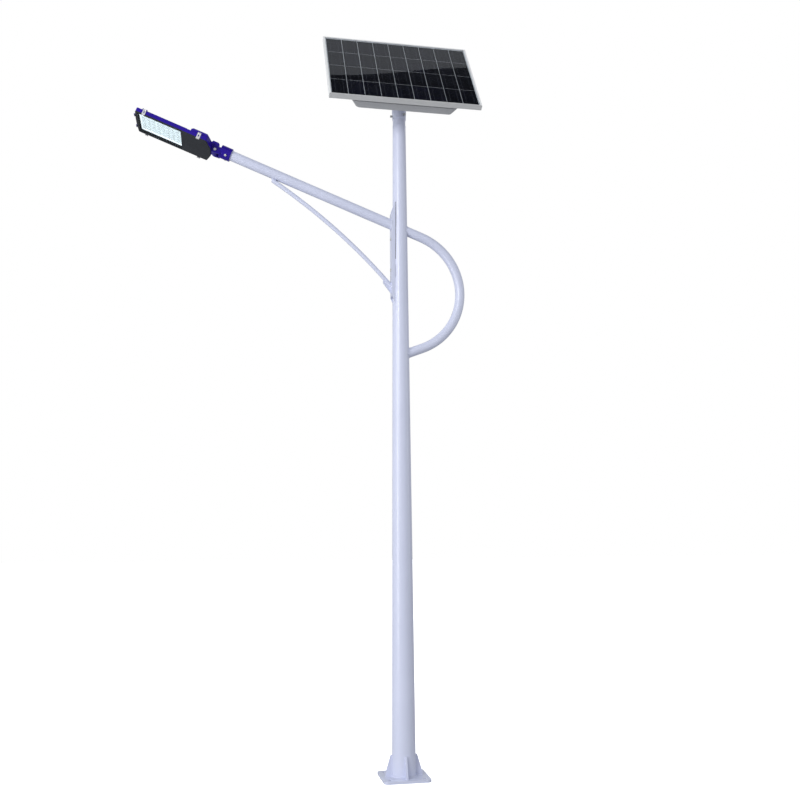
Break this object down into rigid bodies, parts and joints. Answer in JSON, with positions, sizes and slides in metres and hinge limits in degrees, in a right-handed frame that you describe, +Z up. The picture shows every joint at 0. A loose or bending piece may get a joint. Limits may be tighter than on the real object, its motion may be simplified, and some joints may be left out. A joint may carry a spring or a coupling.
{
  "type": "solar street lamp",
  "caption": "Tapered pole with a side arm, D-shaped loop and brace carrying an LED lamp head, and a tilting framed solar panel with a battery box on its pole-top swivel.",
  "frame": {"origin": "centre of the base flange's underside, on the pole's axis", "axes": "+Z up the pole; the side arm points along -X; the panel faces -Y"},
  "size_m": [2.0047, 0.3911, 4.389],
  "materials": {
    "pole_paint": "satin lavender-white powder coat",
    "plated_steel": "zinc plated",
    "frame_aluminium": "clear anodised",
    "box_shell": "grey painted sheet",
    "panel_glass": "tempered, low gloss haze",
    "solar_cell": "dark silicon",
    "white_sheet": "matt",
    "black_plastic": "moulded",
    "black_rubber": "matt",
    "cell_wrap": "shrink wrapped",
    "circuit_board": "solder mask",
    "controller_case": "moulded",
    "lamp_blue": "gloss indigo powder coat on die casting",
    "cover_black": "satin charcoal powder coat",
    "window_glass": "clear tempered",
    "lens_clear": "moulded optics",
    "board_white": "white solder mask",
    "led_phosphor": "phosphor",
    "driver_case": "satin",
    "stainless": "polished spring steel"
  },
  "bodies": {
    "mast": {"base_flange": "pole_paint", "flange_gussets": "pole_paint", "pole_shaft": "pole_paint", "top_spigot": "pole_paint", "spigot_plug": "black_plastic", "arm_bracket": "pole_paint", "bracket_bolt_sets": "plated_steel", "arm_tube": "pole_paint", "loop_tube": "pole_paint", "brace_rod": "pole_paint", "cable_grommet": "black_rubber", "lamp_cable": "black_rubber", "cable_connectors": "black_plastic"},
    "collar": {"collar_sleeve": "pole_paint", "collar_bolt_sets": "plated_steel", "tilt_yoke": "pole_paint", "pivot_bolt_set": "plated_steel"},
    "panel_head": {"box_bracket": "pole_paint", "bracket_screws": "plated_steel", "backing_plate": "plated_steel", "lock_bolt_set": "plated_steel", "frame_top": "frame_aluminium", "frame_bottom": "frame_aluminium", "frame_left": "frame_aluminium", "frame_right": "frame_aluminium", "corner_keys": "frame_aluminium", "solar_glass": "panel_glass", "solar_cells": "solar_cell", "backsheet": "white_sheet", "cross_rails": "frame_aluminium", "rail_bolts": "plated_steel", "junction_box": "black_plastic", "pv_leads": "black_rubber", "cable_glands": "black_plastic", "box_rim": "box_shell", "box_gasket": "black_rubber", "box_tub": "box_shell", "box_screws": "plated_steel", "battery_cells": "cell_wrap", "cell_holders": "black_plastic", "nickel_strips": "plated_steel", "protection_board": "circuit_board", "charge_controller": "controller_case"},
    "lamp_adapter": {"clamp_sleeve": "lamp_blue", "clamp_bolts": "plated_steel", "knuckle_bolt_set": "plated_steel"},
    "lamp_head": {"lamp_shell": "lamp_blue", "lamp_pins": "stainless", "shell_gasket": "black_rubber", "led_board": "board_white", "led_chips": "led_phosphor", "lens_plate": "lens_clear", "led_driver": "driver_case"},
    "lamp_cover": {"lower_cover": "cover_black", "window_glass": "window_glass", "glass_seal": "black_rubber"},
    "latch_rear_near": {"latch_rear_near": "stainless"},
    "latch_rear_far": {"latch_rear_far": "stainless"},
    "latch_tip_near": {"latch_tip_near": "stainless"},
    "latch_tip_far": {"latch_tip_far": "stainless"}
  },
  "joints": [
    {"name": "azimuth_swivel", "type": "hinge", "parent": "mast", "child": "collar", "pos_m": [0, 0, 3.86], "axis": [0, 0, 1], "range_deg": [-175, 175]},
    {"name": "panel_tilt", "type": "hinge", "parent": "collar", "child": "panel_head", "pos_m": [0, 0, 3.958], "axis": [1, 0, 0], "range_deg": [-42, 13]},
    {"name": "lamp_roll", "type": "hinge", "parent": "mast", "child": "lamp_adapter", "pos_m": [-1.02694, 0, 3.52521], "axis": [-0.9336, 0, 0.3584], "range_deg": [-15, 15]},
    {"name": "lamp_tilt", "type": "hinge", "parent": "lamp_adapter", "child": "lamp_head", "pos_m": [-1.09501, 0, 3.53205], "axis": [0, 1, 0], "range_deg": [-20, 15]},
    {"name": "cover_hinge", "type": "hinge", "parent": "lamp_head", "child": "lamp_cover", "pos_m": [-1.54627, 0, 3.69028], "axis": [0, 1, 0], "range_deg": [0, 80]},
    {"name": "latch_rear_near_turn", "type": "hinge", "parent": "lamp_head", "child": "latch_rear_near", "pos_m": [-1.17997, -0.1356, 3.57859], "axis": [-0.9336, 0, 0.3584], "range_deg": [0, 110]},
    {"name": "latch_rear_far_turn", "type": "hinge", "parent": "lamp_head", "child": "latch_rear_far", "pos_m": [-1.17997, 0.1356, 3.57859], "axis": [0.9336, 0, -0.3584], "range_deg": [0, 110]},
    {"name": "latch_tip_near_turn", "type": "hinge", "parent": "lamp_head", "child": "latch_tip_near", "pos_m": [-1.4841, -0.1356, 3.69319], "axis": [-0.9336, 0, 0.3584], "range_deg": [0, 110]},
    {"name": "latch_tip_far_turn", "type": "hinge", "parent": "lamp_head", "child": "latch_tip_far", "pos_m": [-1.4841, 0.1356, 3.69319], "axis": [0.9336, 0, -0.3584], "range_deg": [0, 110]}
  ]
}
